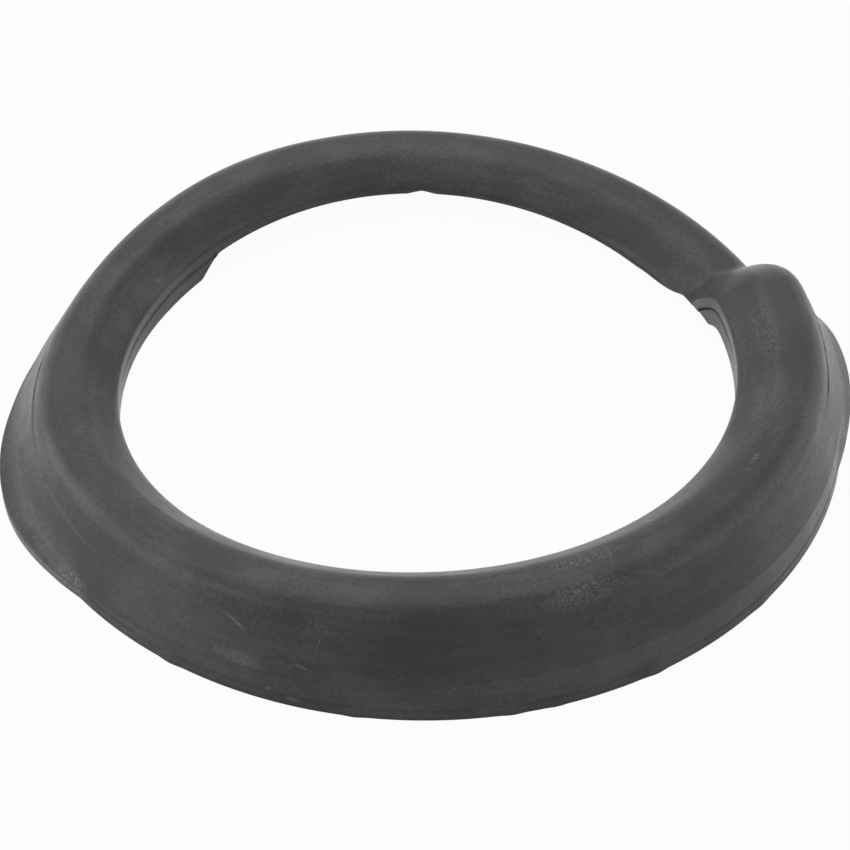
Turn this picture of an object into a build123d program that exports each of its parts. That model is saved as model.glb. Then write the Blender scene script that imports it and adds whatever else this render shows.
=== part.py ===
from build123d import *
import os
from math import cos, pi, radians, sin, tan

# A coil spring insulator: one moulded rubber ring that hoods the last turn of a coil spring.
# It is drawn round the coil's axis, standing on the plane z = 0, and is moved at the end so
# that the middle of its base is the origin. Angles run anticlockwise from +X, seen from
# above. Sizes are in millimetres and degrees.

# The coil that the ring hoods.
WIRE_DIAMETER = 12.0
WIRE_CLEARANCE = 0.4
COIL_RADIUS = 68.4

# The line of the crown, which falls clockwise from the top of the step to its foot.
STEP_ANGLE = 27.6
STEP_SWEEP = 16.2
FALL_PER_TURN = 12.4
CROWN_HEIGHT = 21.1
CROWN_BOW = 2.16

# The moulding isn't quite round: it stands off the coil's axis and is pressed in at one place.
RING_SHIFT = 0.9
PINCH_DEPTH = 1.6
PINCH_ANGLE = 155.0
PINCH_SPREAD = 40.0

# The outside of the hood's section, measured from the coil's line and from the crown.
CROWN_FLAT = 3.2
INNER_ROUND = 5.1
INNER_FLANK_ANGLE = 46.0
INNER_FACE = 9.6
INNER_SHOULDER = 6.0
INNER_SHOULDER_FADE = 1.2
OUTER_ROUND = 4.9
OUTER_FLANK_ANGLE = 64.0
FOLD_DEPTH = 12.5
BAND_ANGLE = 80.0

# The mould line on the inner face, and the leg below it.
MOULD_LINE_DEPTH = 8.0
MOULD_LINE_WIDTH = 0.8
MOULD_LINE_CUT = 0.5
LEG_PROUD = 0.7
LEG_DEPTH = 11.6
LEG_BACKING = 0.6

# The channel for the coil, under the hood.
ROOF_THICKNESS = 5.2
COIL_END_ANGLE = 11.4

# The relief that shortens the inner leg over the back, and the drain notch in its edge.
RELIEF_DEPTH = 6.6
RELIEF_LENGTH = 104.0
RELIEF_SLANT = 9.0
RELIEF_REACH = 4.0
NOTCH_ANGLE = 90.0
NOTCH_WIDTH = 10.0
NOTCH_RISE = 1.2

# The lip at the foot of the outer leg, with a lobe at the left and one at the right.
LIP_THICKNESS = 2.6
LIP_FLARE_RISE = 4.6
LIP_FLARE_REACH = 4.2
LEFT_LOBE_START = 164.0
LEFT_LOBE_PEAK = 209.0
LEFT_LOBE_END = 222.0
LEFT_LOBE_ROOT = 75.9
LEFT_LOBE_RADIUS = 81.7
LEFT_LOBE_FOOT = 79.6
RIGHT_LOBE_START = -16.0
RIGHT_LOBE_PEAK = 14.0
RIGHT_LOBE_END = 20.0
RIGHT_LOBE_ROOT = 80.0
RIGHT_LOBE_RADIUS = 85.2
RIGHT_LOBE_FOOT = 80.6
LOBE_BELLY = 0.6
LIP_SEAT = 0.6

# How finely the sections follow each other, and how far they reach under the base plane.
RING_STATIONS = 46
RAMP_STATIONS = 12
RELIEF_STATIONS = 14
RUN_OUT_STATIONS = 6
UNDERRUN = 6.0
FULL_TURN = 360.0

CHANNEL_HALF_WIDTH = (WIRE_DIAMETER + WIRE_CLEARANCE) / 2
CREST_ANGLE = STEP_ANGLE - STEP_SWEEP
FOOT_ANGLE = STEP_ANGLE - FULL_TURN


def crown_height(angle):
    """The height of the crown: a bowed helix that starts with the ramp of the step."""
    turn = (STEP_ANGLE - angle) / FULL_TURN
    height = CROWN_HEIGHT - FALL_PER_TURN * turn - CROWN_BOW * cos(radians(2 * angle))
    if angle > CREST_ANGLE:
        rise = (STEP_ANGLE - angle) / STEP_SWEEP
        height -= FALL_PER_TURN * (1 - sin(rise * pi / 2))
    return height


def ring_radius(angle):
    """The distance from the axis to the middle of the hood, drawn in at the pinch."""
    away = (angle - PINCH_ANGLE + FULL_TURN / 2) % FULL_TURN - FULL_TURN / 2
    radius = COIL_RADIUS + RING_SHIFT * cos(radians(angle))
    if abs(away) < PINCH_SPREAD:
        radius -= PINCH_DEPTH * (1 + cos(pi * away / PINCH_SPREAD)) / 2
    return radius


def outer_round(angle):
    """The start, the middle and the end of the round from the crown to the outer leg."""
    start = ring_radius(angle) + CROWN_FLAT / 2
    top = crown_height(angle)
    turns = [radians(OUTER_FLANK_ANGLE) * part for part in (0, 0.5, 1)]
    return [(start + OUTER_ROUND * sin(turn), top - OUTER_ROUND * (1 - cos(turn))) for turn in turns]


def outer_leg_radius(angle, height):
    """How far out the outer leg stands at a height: a slope, then a steeper band."""
    leg_top = outer_round(angle)[-1]
    fold_height = crown_height(angle) - FOLD_DEPTH
    slope = 1 / tan(radians(OUTER_FLANK_ANGLE))
    band = 1 / tan(radians(BAND_ANGLE))
    on_slope = leg_top[1] - max(height, fold_height)
    on_band = max(fold_height - height, 0)
    return leg_top[0] + on_slope * slope + on_band * band


def polar(radius, angle):
    """A point of the base plane, given by its distance from the axis and its angle."""
    return Vector(radius * cos(radians(angle)), radius * sin(radians(angle)))


def upright_plane(angle):
    """The plane through the axis at an angle: its x axis is outward, its y axis is up."""
    outward = polar(1, angle)
    return Plane(origin=(0, 0, 0), x_dir=outward, z_dir=outward.cross(Vector(0, 0, 1)))


def standing_face(lines, angle):
    """The face inside lines that are drawn in radius and height, stood up at an angle."""
    return make_face(Curve() + lines).moved(upright_plane(angle).location)


def stations(first, last, count):
    """The angles of a run of sections, ends included."""
    return [first + (last - first) * index / count for index in range(count + 1)]


def hood_section(angle):
    """The outside of the hood, filled: the inner leg, the crown and the outer leg."""
    middle = ring_radius(angle)
    top = crown_height(angle)
    inner = middle - INNER_FACE
    round_start = middle - CROWN_FLAT / 2

    turns = [radians(INNER_FLANK_ANGLE) * part for part in (0, 0.5, 1)]
    inner_round = [
        (round_start - INNER_ROUND * sin(turn), top - INNER_ROUND * (1 - cos(turn)))
        for turn in turns
    ]
    wall_top = (inner, top - INNER_SHOULDER - INNER_SHOULDER_FADE)
    shoulder = Bezier(inner_round[-1], (inner, top - INNER_SHOULDER), wall_top)

    groove = top - MOULD_LINE_DEPTH
    leg_face = inner - LEG_PROUD
    backing = middle - CHANNEL_HALF_WIDTH + LEG_BACKING
    inner_leg = Polyline(
        wall_top,
        (inner, groove + MOULD_LINE_WIDTH / 2),
        (inner + MOULD_LINE_CUT, groove),
        (leg_face, groove - MOULD_LINE_WIDTH / 2),
        (leg_face, top - LEG_DEPTH),
        (backing, top - LEG_DEPTH),
        (backing, -UNDERRUN),
    )

    outer = outer_round(angle)
    fold_height = top - FOLD_DEPTH
    outer_leg = Polyline(
        outer[-1],
        (outer_leg_radius(angle, fold_height), fold_height),
        (outer_leg_radius(angle, -UNDERRUN), -UNDERRUN),
        (backing, -UNDERRUN),
    )
    crown = Line(inner_round[0], outer[0])
    rounds = [ThreePointArc(*inner_round), ThreePointArc(*outer)]
    return standing_face([crown, shoulder, inner_leg, outer_leg] + rounds, angle)


def channel_section(angle):
    """The room for the coil: upright sides under a half-round roof."""
    middle = ring_radius(angle)
    crest = crown_height(angle) - ROOF_THICKNESS
    spring = crest - CHANNEL_HALF_WIDTH
    left = middle - CHANNEL_HALF_WIDTH
    right = middle + CHANNEL_HALF_WIDTH
    floor = -2 * UNDERRUN
    roof = ThreePointArc((left, spring), (middle, crest), (right, spring))
    sides = Polyline((right, spring), (right, floor), (left, floor), (left, spring))
    return standing_face([roof, sides], angle)


def relief_section(angle, height):
    """The room under the shortened inner leg, up to a height."""
    near = ring_radius(angle) - INNER_FACE - RELIEF_REACH
    far = ring_radius(angle) - INNER_FACE + CHANNEL_HALF_WIDTH
    floor = -2 * UNDERRUN
    outline = Polyline((near, floor), (far, floor), (far, height), (near, height), close=True)
    return standing_face([outline], angle)


def build_hood():
    """The solid hood: the ramp of the step and the long run round, cut off at the base."""
    ramp = loft([hood_section(angle) for angle in stations(STEP_ANGLE, CREST_ANGLE, RAMP_STATIONS)])
    run = loft([hood_section(angle) for angle in stations(CREST_ANGLE, FOOT_ANGLE, RING_STATIONS)])
    reach = 2 * RIGHT_LOBE_RADIUS
    above_base = Box(2 * reach, 2 * reach, reach, align=(Align.CENTER, Align.CENTER, Align.MIN))
    return (ramp + run) & above_base


def build_channel():
    """The coil's room: from the coil's end round to the step, then under the step."""
    run = stations(COIL_END_ANGLE, FOOT_ANGLE, RING_STATIONS)
    run_out = stations(FOOT_ANGLE, COIL_END_ANGLE - FULL_TURN, RUN_OUT_STATIONS)
    return loft([channel_section(angle) for angle in run]) + loft(
        [channel_section(angle) for angle in run_out]
    )


def build_relief():
    """The cutter for the inner leg over the back, with its slanted end and the drain notch."""
    last = FOOT_ANGLE + RELIEF_LENGTH
    sections = [
        relief_section(angle, crown_height(angle) - RELIEF_DEPTH)
        for angle in stations(FOOT_ANGLE, last, RELIEF_STATIONS)
    ]
    slant = loft([sections[-1], relief_section(last + RELIEF_SLANT, -UNDERRUN)])
    notch_top = crown_height(NOTCH_ANGLE - FULL_TURN) - RELIEF_DEPTH + NOTCH_RISE
    notch_middle = ring_radius(NOTCH_ANGLE) - INNER_FACE
    notch = Pos(notch_middle, 0, notch_top) * Box(
        2 * RELIEF_REACH, NOTCH_WIDTH, 2 * UNDERRUN, align=(Align.CENTER, Align.CENTER, Align.MAX)
    )
    return loft(sections) + slant + Rot(0, 0, NOTCH_ANGLE) * notch


def lip_flare(angle, radius):
    """A turned foot for the outer leg: a flat lip that sweeps up into the leg."""
    flare_top = LIP_THICKNESS + LIP_FLARE_RISE
    leg_foot = outer_leg_radius(angle, LIP_THICKNESS)
    leg_above = outer_leg_radius(angle, flare_top) - LIP_SEAT
    knee = (leg_foot + LIP_FLARE_REACH, LIP_THICKNESS)
    sweep_up = Bezier(knee, (leg_foot, LIP_THICKNESS), (leg_above, flare_top))
    rest = Polyline(
        (leg_above, flare_top),
        (COIL_RADIUS, flare_top),
        (COIL_RADIUS, 0),
        (radius, 0),
        (radius, LIP_THICKNESS),
        knee,
    )
    return revolve(standing_face([sweep_up, rest], angle), axis=Axis.Z)


def build_lobe(start, peak, end, root, radius, foot):
    """A lobe of the lip: it swells from its root to its peak, then is cut off straight."""
    halfway = polar((root + radius) / 2 + LOBE_BELLY, (start + peak) / 2)
    outline = [
        ThreePointArc(polar(root, start), halfway, polar(radius, peak)),
        Polyline(polar(radius, peak), polar(foot, end), polar(COIL_RADIUS, end)),
        Polyline(polar(COIL_RADIUS, end), polar(COIL_RADIUS, start), polar(root, start)),
    ]
    plan = extrude(make_face(Curve() + outline), amount=LIP_THICKNESS + LIP_FLARE_RISE)
    return plan & lip_flare((start + end) / 2, radius + LIP_FLARE_REACH)


def centred_on_base(body):
    """The body moved so that the middle of its base lies at the origin."""
    middle = body.bounding_box().center()
    return Pos(-middle.X, -middle.Y, 0) * body


os.makedirs("parts", exist_ok=True)
left_lobe = build_lobe(
    LEFT_LOBE_START, LEFT_LOBE_PEAK, LEFT_LOBE_END,
    LEFT_LOBE_ROOT, LEFT_LOBE_RADIUS, LEFT_LOBE_FOOT,
)
right_lobe = build_lobe(
    RIGHT_LOBE_START, RIGHT_LOBE_PEAK, RIGHT_LOBE_END,
    RIGHT_LOBE_ROOT, RIGHT_LOBE_RADIUS, RIGHT_LOBE_FOOT,
)
insulator = build_hood() + left_lobe + right_lobe - build_channel() - build_relief()
export_step(centred_on_base(insulator), "parts/spring_insulator.step")
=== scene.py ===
from math import asin, cos, degrees, pi, radians, sin, tan

import bmesh
import bpy
import numpy as np
from bpy.props import FloatProperty, FloatVectorProperty, IntProperty, PointerProperty
from mathutils import Matrix, Vector


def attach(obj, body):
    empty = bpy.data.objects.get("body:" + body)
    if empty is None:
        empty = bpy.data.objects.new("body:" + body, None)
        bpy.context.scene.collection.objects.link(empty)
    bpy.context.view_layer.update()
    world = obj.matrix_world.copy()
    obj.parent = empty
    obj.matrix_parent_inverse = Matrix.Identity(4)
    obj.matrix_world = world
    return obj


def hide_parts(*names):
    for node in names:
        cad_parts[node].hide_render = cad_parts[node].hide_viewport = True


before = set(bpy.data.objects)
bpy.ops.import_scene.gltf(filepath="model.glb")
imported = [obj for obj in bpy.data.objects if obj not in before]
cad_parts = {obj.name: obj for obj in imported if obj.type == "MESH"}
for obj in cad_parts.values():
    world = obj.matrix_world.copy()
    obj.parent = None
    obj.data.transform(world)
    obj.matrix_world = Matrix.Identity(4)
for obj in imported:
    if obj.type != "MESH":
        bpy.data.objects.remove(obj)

bl_info = {
    "name": "Coil Spring Insulator",
    "version": (1, 0, 0),
    "blender": (4, 5, 0),
    "location": "View3D > Sidebar > Spring Insulator",
    "description": "Builds a moulded rubber coil spring insulator and its studio stage",
    "category": "Object",
}

MM = 0.001
NODE = "spring_insulator"
FULL_TURN = 360.0

# Where the coil's axis stands in the part's frame.
AXIS_X = -2.470 * MM
AXIS_Y = 0.550 * MM

# The step in the crown, and the angle about which the crown bows.
STEP_ANGLE = 27.6
STEP_SWEEP = 16.2
CREST_ANGLE = STEP_ANGLE - STEP_SWEEP
FOOT_ANGLE = STEP_ANGLE - FULL_TURN
CROWN_BOW_ANGLE = 4.5

# How the ring departs from round: an oval inner face, and a pinch at the left of the back.
INNER_OVAL = 0.3 * MM
INNER_SHIFT = 0.8 * MM
PINCH_DEPTH = 2.4 * MM
PINCH_ANGLE = 158.0
PINCH_SWEEP = 45.0

# The section, measured from the coil's line and from the crown. The inner wall keeps some
# height above the leg's edge, given in edge rounds.
CROWN_FLAT = 3.3 * MM
INNER_ROUND = 5.1 * MM
INNER_FLANK_ANGLE = 36.0
INNER_REACH = 8.0 * MM
INNER_SHOULDER = 4.7 * MM
INNER_SHOULDER_FADE = 0.9 * MM
INNER_WALL_LEAST = 1.5
OUTER_ROUND = 4.9 * MM
OUTER_FLANK_ANGLE = 64.0
OUTER_LEAN = 4.3
FOLD_DEPTH = 12.5 * MM
BAND_ANGLE = 80.0

# The mould line on the inner face, and the leg below it. Where the leg is too short for the
# line, the wall's points are split at a share of its height instead, over a band.
MOULD_LINE_DEPTH = 8.0 * MM
MOULD_LINE_WIDTH = 0.8 * MM
MOULD_LINE_CUT = 0.5 * MM
PLAIN_WALL_SPLIT = 0.5
PLAIN_WALL_BAND = 0.2
LEG_SETBACK = 0.2 * MM
LEG_DEPTH = 12.2 * MM
LEG_BACKING = 0.6 * MM
STEP_LEG_EDGE = 4.2 * MM

# The relief over the back, its slanted end and the drain notch.
RELIEF_DEPTH = 6.7 * MM
RELIEF_DROOP = 1.5 * MM
RELIEF_LOWEST = 2.0 * MM
RELIEF_SWEEP = 108.4
RELIEF_SLANT = 5.5
NOTCH_ANGLE = 90.0
NOTCH_WIDTH = 6.0 * MM
NOTCH_RISE = 0.8 * MM

# The flanges of the lip: start, peak, end and cut angles, then width, top and bend.
LIP_SEAT = 0.6 * MM
LEFT_FLANGE = (-200.0, -157.0, -131.0, -131.0, 4.1 * MM, 8.8 * MM, 3.4 * MM)
RIGHT_FLANGE = (-24.0, 11.0, 30.0, 17.5, 4.3 * MM, 13.0 * MM, 8.0 * MM)
EDGE_ROUND = 0.35 * MM

# The lip's lower edge leans out by a share, and its upper edge is rounded over no more than
# some points of the leg.
LIP_EDGE_LEAN = 0.1
LIP_ROUND_SAMPLES = 12

# Small wobbles in the moulded edge of the lip: angle, half width and how far it stands out.
# They fade out at a height given in lip thicknesses.
LIP_WOBBLE_TOP = 1.6
LIP_WOBBLES = (
    (237.5, 2.2, 0.22 * MM), (262.0, 1.8, 0.18 * MM), (281.0, 2.0, 0.20 * MM),
    (286.5, 1.6, 0.14 * MM), (300.0, 2.2, 0.25 * MM), (318.0, 2.5, 0.15 * MM),
)

# The step's ramp starts with a fillet, a share of the ramp, and the inner leg's edge rises to
# meet it over the last degrees of the back. The flanges blend into the leg over a width, and
# the blend fills their corner by a share of it.
RAMP_FILLET = 0.07
EDGE_RISE_SWEEP = 8.0
FLANGE_BLEND = 1.8 * MM
FLANGE_FILL = 0.25

# How many points each part of a section has, and how finely the outer leg and its flanges are
# worked out before they are cut down to those points.
POINTS = {
    "leg round": 3, "leg face": 6, "mould line": 4, "inner wall": 5, "shoulder": 9,
    "inner round": 8, "crown": 5, "outer round": 10, "outer leg": 56, "lip round": 3,
    "lip edge": 5, "base": 4, "channel wall": 4, "roof": 24, "leg back": 4, "leg edge": 6,
}
LEG_SAMPLES = 160
FLANGE_SAMPLES = 60
RAMP_SECTIONS = 60

# Points that stand closer than this are one, and sharper edges than this stay sharp.
MERGE_DISTANCE = 0.02 * MM
SHARP_ANGLE = 38.0

# Where the painted shade sits: in the mould line's groove, past its cut and fading over a share
# of its width, and as a painted contact shadow in a band at the lip's lower edge, up to a share
# of its thickness.
LINE_SHADE_REACH = 1.2
LINE_SHADE_CORE = 1.3
LINE_SHADE_FADE = 0.6
LIP_SHADE_BAND = 1.5 * MM
LIP_SHADE_TOP = 0.55
LIP_SHADE = 0.85

# The rubber's noises: scale and detail of each, the range of the speckle and of the tone, and
# how strongly the grain and the streaks change the tone.
CLOUD = (75.0, 5.0)
GRAIN = (1300.0, 2.0)
SPECKLE = (2100.0, 2.0)
SPECKLE_RANGE = (0.44, 0.66)
TONE_RANGE = (0.34, 0.72)
GRAIN_SHARE = 0.7
STREAK_SHARE = 0.20

# The streaks round the ring: how often they change along it and across it, their detail and
# their range.
STREAK_CHANGES = 7.0
STREAK_FINENESS = 620.0
STREAK_DETAIL = 3.0
STREAK_RANGE = (0.3, 0.7)

# The finish: roughness from bare to worn rubber, what a scuff adds, the dust's spread and the
# relief of the grain and of the scuffs.
ROUGHNESS = (0.38, 0.31)
SCUFF_ROUGHNESS = 0.25
SHEEN_ROUGHNESS = 0.45
RELIEF_SHARE = 0.6
BUMP_STRENGTH = 0.6
BUMP_DEPTH = 0.07 * MM

# A patch is whole out to this share of its size, and fades from there.
PATCH_CORE = 0.35

# Pale patches on the rubber: pale bloom, and the painted highlights marked below. Each has its
# place (radius, angle, height), its half sizes (along, across, up), its strength and how far the
# grain breaks it up.
PALE_PATCHES = (
    ((63.8, 88.5, 12.5), (14.0, 3.6, 4.0), 0.20, 0.95),
    ((65.2, 35.5, 8.4), (8.5, 5.0, 4.0), 0.50, 0.95),
    ((64.8, 1.5, 17.2), (14.0, 3.8, 3.0), 0.62, 0.95),
    ((66.3, 342.0, 18.0), (13.0, 4.0, 3.0), 0.32, 0.95),
    ((67.6, 293.5, 19.9), (10.0, 2.2, 2.0), 0.70, 0.90),
    ((73.6, 291.5, 18.6), (9.5, 3.0, 3.0), 0.62, 0.90),
    ((76.3, 285.6, 13.6), (2.0, 1.5, 2.0), 0.35, 0.90),
    ((75.2, 256.5, 14.6), (4.0, 1.6, 3.0), 0.25, 0.95),
    ((68.8, 328.6, 18.6), (2.4, 0.6, 2.0), 0.90, 0.85),
    ((78.6, 246.6, 6.6), (7.0, 2.2, 1.8), 0.55, 0.60),
    ((79.8, 219.2, 2.0), (5.4, 3.2, 3.2), 1.00, 0.80),
    ((79.8, 212.0, 1.6), (5.5, 1.4, 1.8), 0.30, 0.90),
    ((66.2, 200.0, 12.9), (2.2, 1.8, 2.0), 0.30, 0.90),
    ((59.0, 153.1, 8.5), (0.5, 0.4, 0.5), 0.90, 0.00),
    ((58.2, 23.0, 6.4), (3.4, 1.8, 3.2), 0.70, 0.50),
    ((79.9, 251.2, 2.4), (0.6, 0.6, 0.7), 0.70, 0.40),
    ((77.5, 238.0, 8.0), (24.0, 7.0, 9.0), 0.16, 0.45),
    # Painted highlights: the band at the right of the front, the lower left by its flange, the
    # front's inner rim and the right flange's edge.
    ((80.5, 330.0, 4.0), (26.0, 3.0, 4.0), 0.20, 0.35),
    ((77.5, 184.0, 6.0), (13.0, 5.0, 6.0), 0.18, 0.35),
    ((63.5, 270.0, 17.5), (42.0, 3.0, 4.0), 0.20, 0.30),
    ((83.6, 338.0, 2.0), (24.0, 1.6, 2.5), 0.30, 0.30),
)

# Painted shade, given the same way: darker patches on the front's slope, at the right of the
# back, on the crown and slope at the right, and on the crown and inner wall at the left.
PAINTED_SHADE_PATCHES = (
    ((76.0, 274.0, 12.5), (34.0, 6.0, 9.0), 0.50, 0.10),
    ((62.0, 42.0, 8.0), (20.0, 7.0, 5.0), 0.55, 0.10),
    ((66.0, 4.0, 17.0), (28.0, 7.0, 6.0), 0.28, 0.10),
    ((67.0, 185.0, 13.0), (30.0, 6.0, 5.0), 0.20, 0.10),
    ((57.0, 168.0, 4.0), (26.0, 3.0, 7.0), 0.55, 0.10),
    ((79.0, 335.0, 9.0), (24.0, 4.0, 5.0), 0.40, 0.10),
)

# Fine scratches: their two ends (radius, angle, height), half width and strength.
SCRATCH_DEPTH = 1.8 * MM
SCRATCH_BREAKUP = 0.5
SCRATCHES = (
    ((75.0, 243.4, 13.2), (76.4, 247.8, 10.9), 0.22, 0.75),
    ((75.4, 257.4, 13.6), (77.1, 256.8, 10.3), 0.18, 0.55),
    ((78.0, 253.9, 8.4), (78.5, 256.4, 7.6), 0.18, 0.55),
    ((68.2, 297.8, 19.9), (70.4, 296.8, 19.9), 0.20, 0.80),
    ((74.0, 240.0, 14.0), (74.4, 244.5, 13.4), 0.20, 0.30),
    ((76.6, 179.2, 3.4), (75.0, 181.0, 5.4), 0.30, 0.60),
    ((80.2, 4.0, 6.6), (82.0, 7.6, 3.4), 0.35, 0.60),
    ((82.6, 6.4, 3.0), (83.4, 6.0, 2.0), 0.35, 0.55),
)

# Two tan specks, given as the pale patches are.
TAN_SPECKS = (
    ((80.0, 254.4, 1.4), (1.6, 0.5, 0.5), 0.80, 0.50),
    ((69.3, 325.6, 18.7), (1.2, 0.8, 1.5), 0.45, 0.80),
)

# The photograph's camera, about the coil's axis.
CAMERA_DISTANCE = 0.450
CAMERA_ELEVATION = 41.558
CAMERA_ROLL = 0.08
CAMERA_LENS = 98.80
CAMERA_SENSOR = 36.0
CAMERA_SHIFT = (0.00419, -0.02794)
CAMERA_CLIP = (0.01, 50)

# The lamps, which all point at the middle of the ring: name, place and size in metres.
LAMPS = (
    ("top", (-0.15, 0.25, 0.9), (1.1, 1.1)),
    ("left", (-0.8, 0.0, 0.32), (1.2, 0.6)),
    ("right", (0.8, 0.0, 0.32), (1.2, 0.6)),
)

# The floor's half width, and how far it lies below the ring.
FLOOR_REACH = 6.0
FLOOR_GAP = 0.02 * MM


class RingSizes(bpy.types.PropertyGroup):
    """The driving sizes of the rubber ring."""

    crown_height: FloatProperty(
        name="Crown height", description="Mean height of the high end of the crown",
        default=21.4 * MM, subtype="DISTANCE", precision=4,
    )
    fall_per_turn: FloatProperty(
        name="Fall per turn", description="How far the crown falls in one turn",
        default=12.6 * MM, subtype="DISTANCE", precision=4,
    )
    crown_bow: FloatProperty(
        name="Crown bow", description="How far the crown bows up at the front and the back",
        default=2.3 * MM, subtype="DISTANCE", precision=4,
    )
    coil_radius: FloatProperty(
        name="Coil radius", description="Radius of the hooded coil's centre line",
        default=68.4 * MM, subtype="DISTANCE", precision=4,
    )
    ring_shift: FloatProperty(
        name="Ring shift", description="How far the moulding stands off the coil's axis",
        default=0.9 * MM, subtype="DISTANCE", precision=4,
    )
    channel_width: FloatProperty(
        name="Channel width", description="Width of the channel that takes the coil",
        default=12.4 * MM, subtype="DISTANCE", precision=4,
    )
    roof_thickness: FloatProperty(
        name="Roof thickness", description="Rubber between the channel and the crown",
        default=5.2 * MM, subtype="DISTANCE", precision=4,
    )
    lip_thickness: FloatProperty(
        name="Lip thickness", description="Thickness of the lip at the foot",
        default=2.0 * MM, subtype="DISTANCE", precision=4,
    )
    stations: IntProperty(
        name="Sections per turn", description="How many sections the ring's surface has",
        default=600, min=60, max=900,
    )


class RubberLook(bpy.types.PropertyGroup):
    """The colours and the finish of the rubber."""

    base: FloatVectorProperty(
        name="Rubber", description="Colour of the bare rubber",
        subtype="COLOR", size=3, min=0, max=1, default=(0.0195, 0.0222, 0.0212),
    )
    worn: FloatVectorProperty(
        name="Worn rubber", description="Colour of the lighter, handled rubber",
        subtype="COLOR", size=3, min=0, max=1, default=(0.048, 0.0525, 0.0500),
    )
    # The pale colour of the bloom and the scuffs, and also of the painted highlights on the
    # front's inner rim, the right of the front and the flanges.
    bloom_and_painted_light: FloatVectorProperty(
        name="Bloom", description="Colour of the pale bloom and the scuffs",
        subtype="COLOR", size=3, min=0, max=1, default=(0.185, 0.198, 0.176),
    )
    tan: FloatVectorProperty(
        name="Tan speck", description="Colour of the two tan specks",
        subtype="COLOR", size=3, min=0, max=1, default=(0.20, 0.15, 0.07),
    )
    # Painted shade: this colour goes into the mould line's groove, along the lip's lower edge as
    # a contact shadow, and into the dark patches.
    grime: FloatVectorProperty(
        name="Painted_shade", description="Colour of the dirt in the mould line and under the lip",
        subtype="COLOR", size=3, min=0, max=1, default=(0.006, 0.006, 0.006),
    )
    reflection: FloatProperty(
        name="Reflection", description="How strongly the rubber reflects", default=0.40, min=0,
        max=1,
    )
    sheen: FloatProperty(
        name="Sheen", description="How much the dust brightens the rubber at a low angle",
        default=0.10, min=0, max=1,
    )


class StageLook(bpy.types.PropertyGroup):
    """The colours and lamps of the studio stage."""

    floor: FloatVectorProperty(
        name="Floor", description="Colour of the floor",
        subtype="COLOR", size=3, min=0, max=1, default=(0.9, 0.9, 0.9),
    )
    shadow: FloatProperty(
        name="Shadow", description="How much of the object's shadow the white floor shows",
        default=0.04, min=0, max=1,
    )
    ambient: FloatProperty(
        name="Ambient light", description="Strength of the light from all sides",
        default=0.22, min=0, max=2,
    )
    top: FloatProperty(
        name="Top light", description="Power of the large lamp over the ring", default=3.6,
        min=0, subtype="POWER",
    )
    left: FloatProperty(
        name="Left light", description="Power of the low lamp at the left", default=3.0,
        min=0, subtype="POWER",
    )
    right: FloatProperty(
        name="Right light", description="Power of the low lamp at the right", default=1.6,
        min=0, subtype="POWER",
    )


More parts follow.
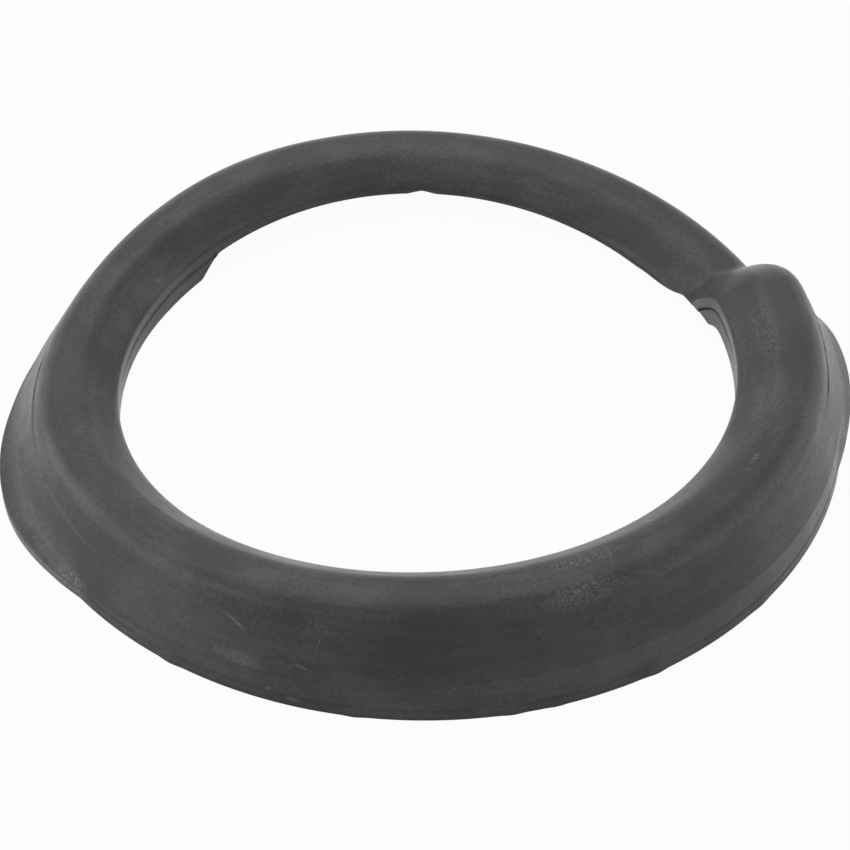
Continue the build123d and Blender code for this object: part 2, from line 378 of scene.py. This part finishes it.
class Ring:
    """The shape of the ring as functions of the angle, in metres from the coil's axis."""

    def __init__(self, sizes):
        self.sizes = sizes
        self.half_channel = sizes.channel_width / 2

    def crown(self, angle):
        """The height of the crown, with the ramp of the step at its high end."""
        turn = (STEP_ANGLE - angle) / FULL_TURN
        sizes = self.sizes
        height = sizes.crown_height - sizes.fall_per_turn * turn
        height -= sizes.crown_bow * cos(radians(2 * (angle - CROWN_BOW_ANGLE)))
        if angle > CREST_ANGLE:
            rise = (STEP_ANGLE - angle) / STEP_SWEEP
            rise *= rise * (1 + RAMP_FILLET) / (rise + RAMP_FILLET)
            height -= sizes.fall_per_turn * (1 - sin(rise * pi / 2))
        return height

    def pinch(self, angle):
        """How far the crown's outside is pinched in at the left of the back."""
        away = (angle - PINCH_ANGLE + FULL_TURN / 2) % FULL_TURN - FULL_TURN / 2
        if abs(away) >= PINCH_SWEEP:
            return 0.0
        return PINCH_DEPTH * (1 + cos(pi * away / PINCH_SWEEP)) / 2

    def middle(self, angle):
        """The radius of the middle of the crown's flat, before the pinch."""
        return self.sizes.coil_radius + self.sizes.ring_shift * cos(radians(angle))

    def channel(self, angle):
        """The radius of the middle of the coil's channel."""
        return self.middle(angle) - self.pinch(angle) / 2

    def inner_edge(self, angle):
        """Where the flat of the crown ends on the inside."""
        oval = INNER_OVAL * cos(radians(2 * angle)) + INNER_SHIFT * sin(radians(angle))
        return self.middle(angle) - CROWN_FLAT / 2 - oval

    def outer_edge(self, angle):
        """Where the flat of the crown ends on the outside."""
        return self.middle(angle) + CROWN_FLAT / 2 - self.pinch(angle)

    def flank(self, angle):
        """The slope of the outer leg, in radians."""
        return radians(OUTER_FLANK_ANGLE + OUTER_LEAN * cos(radians(angle)))

    def outer_leg(self, angle, height):
        """How far out the outer leg stands at a height, or at each of several."""
        slope = self.flank(angle)
        top = self.crown(angle) - OUTER_ROUND * (1 - cos(slope))
        fold = self.crown(angle) - FOLD_DEPTH
        start = self.outer_edge(angle) + OUTER_ROUND * sin(slope)
        on_slope = (top - np.maximum(height, fold)) / tan(slope)
        on_band = np.maximum(fold - height, 0) / tan(radians(BAND_ANGLE))
        return start + on_slope + on_band

    def leg_edge(self, angle):
        """The height of the inner leg's lower edge."""
        full = self.crown(angle) - LEG_DEPTH
        if angle > CREST_ANGLE:
            return max(full, STEP_LEG_EDGE)
        past = angle - FOOT_ANGLE
        part = min(past / RELIEF_SWEEP, 1)
        relief = max(self.crown(angle) - RELIEF_DEPTH - RELIEF_DROOP * part ** 3, RELIEF_LOWEST)
        near_step = max(1 - past / EDGE_RISE_SWEEP, 0) ** 2
        relief += (STEP_LEG_EDGE - relief) * near_step
        if past < RELIEF_SWEEP:
            inner = self.inner_edge(angle) - INNER_REACH
            across = radians(angle - NOTCH_ANGLE + FULL_TURN) * inner
            return relief + NOTCH_RISE * max(1 - abs(across) / (NOTCH_WIDTH / 2), 0)
        if past < RELIEF_SWEEP + RELIEF_SLANT:
            return max(full, 0, relief * (1 - (past - RELIEF_SWEEP) / RELIEF_SLANT))
        return max(full, 0)

    def flange(self, angle):
        """The swell, top and bend of the flange at an angle; none where there is no flange."""
        for start, peak, end, cut, width, top, bend in (LEFT_FLANGE, RIGHT_FLANGE):
            if start < angle < cut:
                span = peak - start if angle < peak else end - peak
                return width * (1 + cos(pi * (angle - peak) / span)) / 2, top, bend
        return 0.0, 0.0, 0.0


def bezier(points, count):
    """A curve with one middle handle."""
    t = np.linspace(0, 1, count)[:, None]
    a, b, c = (np.array(p) for p in points)
    return a * (1 - t) ** 2 + 2 * b * t * (1 - t) + c * t ** 2


def arc(centre, radius, first, last, count):
    """An arc from the first to the last angle, in degrees."""
    turns = np.radians(np.linspace(first, last, count))
    return np.stack([centre[0] + radius * np.cos(turns), centre[1] + radius * np.sin(turns)], 1)


def spread(points, count):
    """A line through points, divided evenly along its length."""
    points = np.array(points)
    steps = np.linalg.norm(np.diff(points, axis=0), axis=1)
    along = np.concatenate([[0], np.cumsum(steps)])
    wanted = np.linspace(0, along[-1], count)
    return np.stack([np.interp(wanted, along, points[:, i]) for i in (0, 1)], 1)


def section(ring, angle, channel_angle):
    """One closed section, as radius and height, from the inner leg's edge over the crown."""
    top = ring.crown(angle)
    edge = ring.leg_edge(angle)
    start = ring.inner_edge(angle)
    inner = start - INNER_REACH
    groove = top - MOULD_LINE_DEPTH
    has_groove = edge < groove - MOULD_LINE_WIDTH
    face = inner + LEG_SETBACK if has_groove else inner
    cut = MOULD_LINE_CUT if has_groove else 0.0
    wall_top = np.array([inner, top - INNER_SHOULDER - INNER_SHOULDER_FADE])
    wall_top[1] = max(wall_top[1], edge + EDGE_ROUND * INNER_WALL_LEAST)
    low = groove if has_groove else edge + (wall_top[1] - edge) * PLAIN_WALL_SPLIT
    half = MOULD_LINE_WIDTH / 2 if has_groove else (low - edge) * PLAIN_WALL_BAND
    parts = [
        spread([(face + EDGE_ROUND, edge), (face, edge + EDGE_ROUND)], POINTS["leg round"]),
        spread([(face, edge + EDGE_ROUND), (face, low - half)], POINTS["leg face"]),
        spread([(face, low - half), (inner + cut, low)], POINTS["mould line"]),
        spread([(inner + cut, low), (inner, low + half)], POINTS["mould line"]),
        spread([(inner, low + half), wall_top], POINTS["inner wall"]),
    ]
    lean = radians(INNER_FLANK_ANGLE)
    flank = (start - INNER_ROUND * sin(lean), top - INNER_ROUND * (1 - cos(lean)))
    parts.append(bezier([wall_top, (inner, top - INNER_SHOULDER), flank], POINTS["shoulder"]))
    centre = (start, top - INNER_ROUND)
    parts.append(arc(centre, INNER_ROUND, 90 + INNER_FLANK_ANGLE, 90, POINTS["inner round"]))
    end = ring.outer_edge(angle)
    parts.append(spread([(start, top), (end, top)], POINTS["crown"]))
    centre, last = (end, top - OUTER_ROUND), 90 - degrees(ring.flank(angle))
    parts.append(arc(centre, OUTER_ROUND, 90, last, POINTS["outer round"]))
    parts += outer_side(ring, angle, parts[-1][-1])
    parts += underside(ring, angle, channel_angle, parts[-1][-1], (face + EDGE_ROUND, edge))
    return np.concatenate([p[:-1] for p in parts])


def lip_wobble(angle):
    """How far the moulded edge of the lip stands out of line at an angle."""
    out = 0.0
    for centre, half_width, height in LIP_WOBBLES:
        away = abs((angle - centre + FULL_TURN / 2) % FULL_TURN - FULL_TURN / 2) / half_width
        if away < 1:
            out += height * (1 + cos(pi * away)) / 2
    return out


def outer_side(ring, angle, leg_top):
    """The outer leg from the crown's round down to the base, with the lip and its flanges."""
    lip = ring.sizes.lip_thickness
    heights = np.linspace(leg_top[1], lip, LEG_SAMPLES)
    radii = ring.outer_leg(angle, heights)
    swell, flange_top, bend = ring.flange(angle)
    if swell > 0:
        edge = (radii[-1] - LIP_SEAT + swell, lip)
        knee = (ring.outer_leg(angle, bend) - LIP_SEAT, bend)
        above = (ring.outer_leg(angle, flange_top) - LIP_SEAT, flange_top)
        sweep = bezier([edge, knee, above], FLANGE_SAMPLES)
        flange = np.interp(heights, sweep[:, 1], sweep[:, 0], right=0)
        near = np.clip(1 - np.abs(radii - flange) / FLANGE_BLEND, 0, 1)
        near *= min(swell / FLANGE_BLEND, 1)
        radii = np.maximum(radii, flange) + near ** 2 * FLANGE_BLEND * FLANGE_FILL
    wobble = lip_wobble(angle)
    radii = radii + wobble * np.clip(LIP_WOBBLE_TOP - heights / lip, 0, 1)
    rim = radii[-1]
    bottom = max(rim, ring.outer_leg(angle, 0) + wobble)
    leg = np.stack([radii, heights], 1)
    leg[-1, 0] = max(rim - EDGE_ROUND, radii[-LIP_ROUND_SAMPLES])
    corner = (rim + (bottom - rim) * LIP_EDGE_LEAN, lip - EDGE_ROUND)
    return [
        spread(leg, POINTS["outer leg"]),
        spread([leg[-1], corner], POINTS["lip round"]),
        spread([corner, (bottom, 0)], POINTS["lip edge"]),
    ]


def underside(ring, angle, channel_angle, rim, leg):
    """The base, the coil's channel and the lower edge of the inner leg."""
    middle, half = ring.channel(angle), ring.half_channel
    spring = ring.crown(channel_angle) - ring.sizes.roof_thickness - half
    side = 0.0 if spring > 0 else asin(-spring / half)
    near = side
    if leg[1] > spring and channel_angle == angle:
        near = asin(min((leg[1] - spring) / half, 1))
    opening = middle + half * cos(side)
    sill = (opening, 0.0)
    spring_out = (opening, max(spring, 0.0))
    turns = (degrees(side), 180 - degrees(near))
    roof = arc((middle, spring), half, turns[0], turns[1], POINTS["roof"])
    closing = middle - half * cos(near)
    if channel_angle == angle:
        inner = [roof[-1], (closing, leg[1]), leg]
    else:
        backing = middle - half + LEG_BACKING
        inner = [roof[-1], (backing, max(spring, 0.0)), (backing, leg[1]), leg]
    return [
        spread([rim, sill], POINTS["base"]),
        spread([sill, spring_out], POINTS["channel wall"]),
        spread(roof, POINTS["roof"]),
        spread(inner[:2], POINTS["leg back"]),
        spread(inner[1:], POINTS["leg edge"]),
    ]


def station_angles(count):
    """The sections' angles, each with the angle that its channel follows."""
    run = np.linspace(CREST_ANGLE, FOOT_ANGLE, count)
    ramp = np.linspace(STEP_ANGLE, CREST_ANGLE, RAMP_SECTIONS)
    return [(a, a - FULL_TURN) for a in ramp] + [(a, a) for a in run]


def painted_shade_share(profile, top, lip):
    """How much painted shade each point takes: in the mould line, and as contact shadow at the
    lip.
    """
    depth = top - profile[:, 1] - MOULD_LINE_DEPTH
    reach = LEG_SETBACK + MOULD_LINE_CUT * LINE_SHADE_REACH
    inside = profile[:, 0] < profile[:, 0].min() + reach
    fade = MOULD_LINE_WIDTH * LINE_SHADE_FADE
    line = np.clip(LINE_SHADE_CORE - np.abs(depth) / fade, 0, 1) * inside
    outside = np.clip(1 - (profile[:, 0].max() - profile[:, 0]) / LIP_SHADE_BAND, 0, 1)
    edge = np.clip(1 - profile[:, 1] / (LIP_SHADE_TOP * lip), 0, 1) * outside
    return np.maximum(line, edge * LIP_SHADE)


def build_ring_mesh(sizes):
    """The ring's mesh: its sections joined up round the coil's axis, with their painted shade.
    """
    ring = Ring(sizes)
    rows = []
    grime = []
    for angle, channel_angle in station_angles(sizes.stations):
        profile = section(ring, angle, channel_angle)
        x = profile[:, 0] * cos(radians(angle)) + AXIS_X
        y = profile[:, 0] * sin(radians(angle)) + AXIS_Y
        rows.append(np.stack([x, y, profile[:, 1]], 1))
        grime.append(painted_shade_share(profile, ring.crown(angle), sizes.lip_thickness))
    points = np.array(rows)
    turns, around = points.shape[:2]
    index = np.arange(turns * around).reshape(turns, around)
    ahead = np.roll(index, -1, axis=0)
    quads = np.stack([index, np.roll(index, -1, axis=1), np.roll(ahead, -1, axis=1), ahead], -1)
    mesh = bpy.data.meshes.new("rubber_ring")
    mesh.from_pydata(points.reshape(-1, 3).tolist(), [], quads.reshape(-1, 4).tolist())
    layer = mesh.attributes.new("grime", "FLOAT", "POINT")
    layer.data.foreach_set("value", np.concatenate(grime).astype(np.float32))
    return mesh


def clean_mesh(mesh):
    """Joins the points that fall together, and shades the mesh smooth between sharp edges."""
    work = bmesh.new()
    work.from_mesh(mesh)
    bmesh.ops.remove_doubles(work, verts=work.verts, dist=MERGE_DISTANCE)
    bmesh.ops.recalc_face_normals(work, faces=work.faces)
    work.to_mesh(mesh)
    work.free()
    mesh.shade_smooth()
    mesh.set_sharp_from_angle(angle=radians(SHARP_ANGLE))


class Graph:
    """Adds nodes to a node tree and wires them up."""

    def __init__(self, tree):
        self.tree = tree

    def add(self, kind, wires=None, **settings):
        """A new node; each wire names an input and gives it a value or another's output."""
        node = self.tree.nodes.new(kind)
        for name, value in settings.items():
            setattr(node, name, value)
        for key, value in (wires or {}).items():
            if isinstance(value, bpy.types.NodeSocket):
                self.tree.links.new(value, node.inputs[key])
            else:
                node.inputs[key].default_value = value
        return node

    def math(self, operation, *values):
        """A sum of values and outputs."""
        wires = dict(enumerate(values))
        return self.add("ShaderNodeMath", wires, operation=operation).outputs[0]

    def noise(self, place, scale, detail):
        """A noise at a place, between 0 and 1."""
        wires = {"Vector": place, "Scale": scale, "Detail": detail}
        return self.add("ShaderNodeTexNoise", wires).outputs["Fac"]

    def fade(self, value, low, high, start=0.0, end=1.0):
        """A smooth step from start to end as the value goes from low to high."""
        wires = {
            "Value": value, "From Min": low, "From Max": high, "To Min": start, "To Max": end,
        }
        step = self.add("ShaderNodeMapRange", wires, interpolation_type="SMOOTHSTEP")
        return step.outputs["Result"]

    def blend(self, mask, first, second):
        """The first colour, with the second one where the mask is."""
        node = self.add("ShaderNodeMix", {"Factor": mask}, data_type="RGBA")
        for socket, colour in zip([i for i in node.inputs if i.type == "RGBA"], (first, second)):
            if isinstance(colour, bpy.types.NodeSocket):
                self.tree.links.new(colour, socket)
            else:
                socket.default_value = (*colour, 1)
        return [o for o in node.outputs if o.type == "RGBA"][0]


def new_group(name, inputs, output):
    """An empty node group with named inputs (name, kind, default) and one output."""
    tree = bpy.data.node_groups.new(name, "ShaderNodeTree")
    for label, kind, default in inputs:
        socket = tree.interface.new_socket(label, in_out="INPUT", socket_type=kind)
        if default is not None:
            socket.default_value = default
    tree.interface.new_socket(output, in_out="OUTPUT", socket_type="NodeSocketFloat")
    graph = Graph(tree)
    return graph, graph.add("NodeGroupInput").outputs, graph.add("NodeGroupOutput")


def patch_group():
    """A soft oval patch that a fine grain breaks up, as a mask."""
    vector, number = "NodeSocketVector", "NodeSocketFloat"
    inputs = (
        ("Position", vector, None), ("Centre", vector, None), ("Turn", vector, None),
        ("Half Size", vector, None), ("Strength", number, 0.5), ("Grain", number, 1.0),
        ("Breakup", number, 0.5),
    )
    graph, given, out = new_group("Pale Patch", inputs, "Mask")
    wires = {
        "Vector": given["Position"], "Location": given["Centre"], "Rotation": given["Turn"],
        "Scale": given["Half Size"],
    }
    local = graph.add("ShaderNodeMapping", wires, vector_type="TEXTURE").outputs[0]
    away = graph.add("ShaderNodeVectorMath", {0: local}, operation="LENGTH").outputs["Value"]
    inside = graph.fade(away, PATCH_CORE, 1.0, 1.0, 0.0)
    gaps = graph.math("MULTIPLY", given["Breakup"], graph.math("SUBTRACT", 1.0, given["Grain"]))
    mask = graph.math("MULTIPLY", inside, graph.math("SUBTRACT", 1.0, gaps))
    mask = graph.math("MULTIPLY", mask, given["Strength"])
    graph.tree.links.new(mask, out.inputs["Mask"])
    return graph.tree


def streak_group():
    """Faint streaks that run round the ring, as a mask."""
    vector, number = "NodeSocketVector", "NodeSocketFloat"
    inputs = (
        ("Position", vector, None), ("Axis", vector, None),
        ("Changes", number, STREAK_CHANGES), ("Fineness", number, STREAK_FINENESS),
    )
    graph, given, out = new_group("Ring Streaks", inputs, "Mask")
    wires = {0: given["Position"], 1: given["Axis"]}
    place = graph.add("ShaderNodeVectorMath", wires, operation="SUBTRACT").outputs[0]
    wires = {0: place, 1: (1, 1, 0)}
    flat = graph.add("ShaderNodeVectorMath", wires, operation="MULTIPLY").outputs[0]
    radius = graph.add("ShaderNodeVectorMath", {0: flat}, operation="LENGTH").outputs["Value"]
    turn = graph.add("ShaderNodeVectorMath", {0: flat}, operation="NORMALIZE").outputs[0]
    parts = graph.add("ShaderNodeSeparateXYZ", {0: turn}).outputs
    height = graph.add("ShaderNodeSeparateXYZ", {0: place}).outputs["Z"]
    across = {
        "X": graph.math("MULTIPLY", parts["X"], given["Changes"]),
        "Y": graph.math("MULTIPLY", parts["Y"], given["Changes"]),
        "Z": graph.math("MULTIPLY", radius, given["Fineness"]),
    }
    wires = {
        "Vector": graph.add("ShaderNodeCombineXYZ", across).outputs[0],
        "W": graph.math("MULTIPLY", height, given["Fineness"]), "Scale": 1.0,
        "Detail": STREAK_DETAIL,
    }
    noise = graph.add("ShaderNodeTexNoise", wires, noise_dimensions="4D").outputs["Fac"]
    graph.tree.links.new(graph.fade(noise, *STREAK_RANGE), out.inputs["Mask"])
    return graph.tree


def on_ring(radius, angle, height):
    """A point given in millimetres round the coil's axis, in the part's frame."""
    x = AXIS_X + radius * MM * cos(radians(angle))
    y = AXIS_Y + radius * MM * sin(radians(angle))
    return Vector((x, y, height * MM))


def add_mark(graph, tree, wires, mask):
    """A patch or scratch with its inputs, joined to the mask of the marks before it."""
    mark = graph.add("ShaderNodeGroup", node_tree=tree)
    for key, value in wires.items():
        if isinstance(value, bpy.types.NodeSocket):
            graph.tree.links.new(value, mark.inputs[key])
        else:
            mark.inputs[key].default_value = value
    return graph.math("MAXIMUM", mask, mark.outputs[0]) if mask else mark.outputs[0]


def patch_mask(graph, tree, place, grain, patches):
    """The strongest of some patches at each point."""
    mask = None
    for centre, half_size, strength, breakup in patches:
        wires = {
            "Position": place, "Centre": on_ring(*centre),
            "Turn": (0, 0, radians(centre[1] + FULL_TURN / 4)),
            "Half Size": [size * MM for size in half_size], "Strength": strength,
            "Grain": grain, "Breakup": breakup,
        }
        mask = add_mark(graph, tree, wires, mask)
    return mask


def scratch_mask(graph, tree, place, grain, scratches):
    """The strongest of some scratches at each point."""
    mask = None
    for first, last, width, strength in scratches:
        start, end = on_ring(*first), on_ring(*last)
        wires = {
            "Position": place, "Centre": (start + end) / 2,
            "Turn": (end - start).to_track_quat("X", "Z").to_euler(),
            "Half Size": ((end - start).length / 2, width * MM, SCRATCH_DEPTH),
            "Strength": strength, "Grain": grain, "Breakup": SCRATCH_BREAKUP,
        }
        mask = add_mark(graph, tree, wires, mask)
    return mask


def make_rubber(look):
    """The moulded rubber: its tone, bloom and painted highlights, scratches, specks, painted
    shade and relief.
    """
    material = bpy.data.materials.new("moulded_rubber")
    material.use_nodes = True
    graph = Graph(material.node_tree)
    place = graph.add("ShaderNodeTexCoord").outputs["Object"]
    patch = patch_group()
    cloud = graph.noise(place, *CLOUD)
    grain = graph.noise(place, *GRAIN)
    speckle = graph.fade(graph.noise(place, *SPECKLE), *SPECKLE_RANGE)
    streaks = graph.add("ShaderNodeGroup", node_tree=streak_group())
    graph.tree.links.new(place, streaks.inputs["Position"])
    streaks.inputs["Axis"].default_value = (AXIS_X, AXIS_Y, 0)
    mottle = graph.math("MULTIPLY", graph.math("SUBTRACT", grain, 0.5), GRAIN_SHARE)
    lines = graph.math("SUBTRACT", streaks.outputs[0], 0.5)
    lines = graph.math("MULTIPLY", lines, STREAK_SHARE)
    tone = graph.math("ADD", graph.math("ADD", cloud, mottle), lines)
    tone = graph.fade(tone, *TONE_RANGE)
    colour = graph.blend(tone, look.base, look.worn)
    # The pale patches: bloom, and painted highlights on the rim, the band and the flanges.
    pale = patch_mask(graph, patch, place, speckle, PALE_PATCHES)
    cuts = scratch_mask(graph, patch, place, speckle, SCRATCHES)
    # Bloom, scratches and the painted highlights together. This mask also roughens the rubber
    # and raises its relief.
    worn = graph.math("MAXIMUM", pale, cuts)
    colour = graph.blend(worn, colour, look.bloom_and_painted_light)
    # Painted shade: the dark patches pull the colour towards the painted-shade colour.
    shade_patch_mask = patch_mask(graph, patch, place, speckle, PAINTED_SHADE_PATCHES)
    colour = graph.blend(shade_patch_mask, colour, look.grime)
    specks = patch_mask(graph, patch, place, speckle, TAN_SPECKS)
    colour = graph.blend(specks, colour, look.tan)
    # Painted shade in the mould line's groove, and painted contact shadow along the lip's lower
    # edge, from the shares the mesh carries.
    groove_and_lip_shade = graph.add("ShaderNodeAttribute", attribute_name="grime").outputs["Fac"]
    colour = graph.blend(groove_and_lip_shade, colour, look.grime)
    shader = graph.tree.nodes["Principled BSDF"]
    graph.tree.links.new(colour, shader.inputs["Base Color"])
    rough = graph.fade(tone, 0.0, 1.0, *ROUGHNESS)
    rough = graph.math("ADD", rough, graph.math("MULTIPLY", worn, SCUFF_ROUGHNESS))
    graph.tree.links.new(rough, shader.inputs["Roughness"])
    shader.inputs["Specular IOR Level"].default_value = look.reflection
    shader.inputs["Sheen Weight"].default_value = look.sheen
    shader.inputs["Sheen Roughness"].default_value = SHEEN_ROUGHNESS
    grain_relief = graph.math("MULTIPLY", grain, RELIEF_SHARE)
    relief = graph.math("ADD", grain_relief, graph.math("MULTIPLY", worn, RELIEF_SHARE))
    wires = {"Height": relief, "Strength": BUMP_STRENGTH, "Distance": BUMP_DEPTH}
    bump = graph.add("ShaderNodeBump", wires)
    graph.tree.links.new(bump.outputs[0], shader.inputs["Normal"])
    return material


class BuildRing(bpy.types.Operator):
    """Build the rubber ring"""

    bl_idname = "spring_insulator.build_ring"
    bl_label = "Build Ring"

    def execute(self, context):
        mesh = build_ring_mesh(context.scene.ring_sizes)
        clean_mesh(mesh)
        mesh.materials.append(make_rubber(context.scene.rubber_look))
        ring = bpy.data.objects.new("rubber_ring", mesh)
        context.scene.collection.objects.link(ring)
        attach(ring, "root")
        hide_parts(NODE)
        return {"FINISHED"}


def seen_directly(graph):
    """1 for the rays that see the background: from the camera, or off metal or glass."""
    rays = graph.add("ShaderNodeLightPath").outputs
    seen = graph.math("MAXIMUM", rays["Is Camera Ray"], rays["Is Glossy Ray"])
    return graph.math("MAXIMUM", seen, rays["Is Transmission Ray"])


def add_lamp(context, name, place, size, power):
    """A rectangular lamp that points at the middle of the ring."""
    lamp = bpy.data.lights.new(name, "AREA")
    lamp.shape = "RECTANGLE"
    lamp.size, lamp.size_y = size
    lamp.energy = power
    holder = bpy.data.objects.new(name, lamp)
    holder.location = place
    holder.rotation_euler = (-Vector(place)).to_track_quat("-Z", "Y").to_euler()
    context.scene.collection.objects.link(holder)


class BuildStage(bpy.types.Operator):
    """Build the floor, the lamps and the camera"""

    bl_idname = "spring_insulator.build_stage"
    bl_label = "Build Stage"

    def execute(self, context):
        look = context.scene.stage_look
        self.add_floor(context, look)
        self.light_world(context, look)
        for name, place, size in LAMPS:
            add_lamp(context, f"{name}_lamp", place, size, getattr(look, name))
        self.add_camera(context)
        return {"FINISHED"}

    def add_floor(self, context, look):
        """A white floor that keeps a little of the ring's shadow."""
        mesh = bpy.data.meshes.new("floor")
        sides = ((-1, -1), (1, -1), (1, 1), (-1, 1))
        places = [(x * FLOOR_REACH, y * FLOOR_REACH, 0) for x, y in sides]
        mesh.from_pydata(places, [], [(0, 1, 2, 3)])
        floor = bpy.data.objects.new("floor", mesh)
        floor.location.z = -FLOOR_GAP
        context.scene.collection.objects.link(floor)
        material = bpy.data.materials.new("pale_floor")
        material.use_nodes = True
        graph = Graph(material.node_tree)
        plain = graph.tree.nodes["Principled BSDF"]
        plain.inputs["Base Color"].default_value = (*look.floor, 1)
        plain.inputs["Roughness"].default_value = 1.0
        plain.inputs["Specular IOR Level"].default_value = 0.0
        white = graph.add("ShaderNodeEmission")
        share = graph.math("MULTIPLY", seen_directly(graph), 1 - look.shadow)
        wires = {0: share, 1: plain.outputs[0], 2: white.outputs[0]}
        mix = graph.add("ShaderNodeMixShader", wires)
        output = graph.tree.nodes["Material Output"]
        graph.tree.links.new(mix.outputs[0], output.inputs["Surface"])
        mesh.materials.append(material)

    def light_world(self, context, look):
        """A world that looks white and lights the ring softly from all sides."""
        world = bpy.data.worlds.new("studio")
        context.scene.world = world
        world.use_nodes = True
        graph = Graph(world.node_tree)
        back = graph.tree.nodes["Background"]
        back.inputs["Color"].default_value = (1, 1, 1, 1)
        more = graph.math("MULTIPLY", seen_directly(graph), 1 - look.ambient)
        level = graph.math("ADD", more, look.ambient)
        graph.tree.links.new(level, back.inputs["Strength"])

    def add_camera(self, context):
        """The camera, which is turned about the coil's axis."""
        lens = bpy.data.cameras.new("camera")
        lens.lens, lens.sensor_width = CAMERA_LENS, CAMERA_SENSOR
        lens.shift_x, lens.shift_y = CAMERA_SHIFT
        lens.clip_start, lens.clip_end = CAMERA_CLIP
        camera = bpy.data.objects.new("camera", lens)
        rise = radians(CAMERA_ELEVATION)
        axis = Vector((AXIS_X, AXIS_Y, 0))
        back = Vector((0, -cos(rise), sin(rise)))
        turn = (-back).to_track_quat("-Z", "Y").to_matrix().to_4x4()
        roll = Matrix.Rotation(radians(CAMERA_ROLL), 4, "Z")
        camera.matrix_world = Matrix.Translation(axis + back * CAMERA_DISTANCE) @ turn @ roll
        context.scene.collection.objects.link(camera)
        context.scene.camera = camera


class InsulatorPanel(bpy.types.Panel):
    """Lists the insulator's sizes, colours and builders"""

    bl_idname = "VIEW3D_PT_spring_insulator"
    bl_label = "Spring Insulator"
    bl_space_type = "VIEW_3D"
    bl_region_type = "UI"
    bl_category = "Spring Insulator"

    def draw(self, context):
        scene = context.scene
        for group in (scene.ring_sizes, scene.rubber_look, scene.stage_look):
            box = self.layout.box()
            for name in group.bl_rna.properties.keys():
                if name not in ("rna_type", "name"):
                    box.prop(group, name)
        self.layout.operator(BuildRing.bl_idname)
        self.layout.operator(BuildStage.bl_idname)


CLASSES = (RingSizes, RubberLook, StageLook, BuildRing, BuildStage, InsulatorPanel)
GROUPS = {"ring_sizes": RingSizes, "rubber_look": RubberLook, "stage_look": StageLook}


def register():
    """Adds the classes and the scene's settings."""
    for entry in CLASSES:
        bpy.utils.register_class(entry)
    for name, group in GROUPS.items():
        setattr(bpy.types.Scene, name, PointerProperty(type=group))


def unregister():
    """Takes the settings and the classes off again."""
    for name in GROUPS:
        delattr(bpy.types.Scene, name)
    for entry in reversed(CLASSES):
        bpy.utils.unregister_class(entry)


def main():
    """Registers the add-on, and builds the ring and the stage."""
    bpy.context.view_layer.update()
    register()
    bpy.context.scene.view_settings.view_transform = "Standard"
    bpy.ops.spring_insulator.build_ring()
    bpy.ops.spring_insulator.build_stage()
    bpy.context.view_layer.update()


if __name__ == "__main__":
    main()
